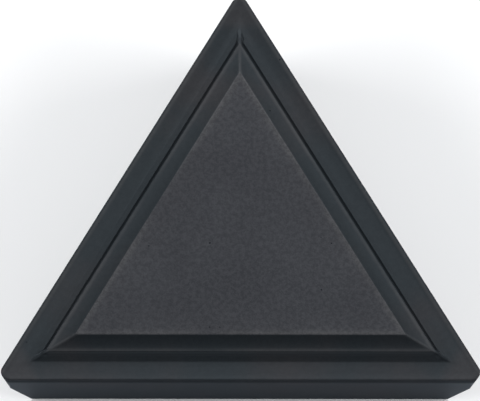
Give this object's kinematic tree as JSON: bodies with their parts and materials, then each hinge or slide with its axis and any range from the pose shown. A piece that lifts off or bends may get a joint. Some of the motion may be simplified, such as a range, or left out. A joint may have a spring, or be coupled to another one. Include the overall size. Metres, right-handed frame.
{
  "type": "triangular indexable turning insert",
  "caption": "Triangular hard-metal cutting insert with leaning flanks, small rounded corners, a chip groove along each edge and a raised flat to clamp on.",
  "frame": {"origin": "middle of the seat face, on the axis through the triangle's centre", "axes": "+Z square to the seat face towards the rake face, +Y towards one nose, +X along the opposite side"},
  "size_m": [0.0214, 0.0186, 0.005],
  "materials": {
    "sintered_carbide": "matt, as sintered",
    "carbonitride_layer": "matt",
    "dark_coating": "satin, fine grain on the raised flat"
  },
  "bodies": {
    "root": {"carbide_substrate": "sintered_carbide", "ticn_underlayer": "carbonitride_layer", "alumina_top_coat": "dark_coating"}
  },
  "joints": []
}
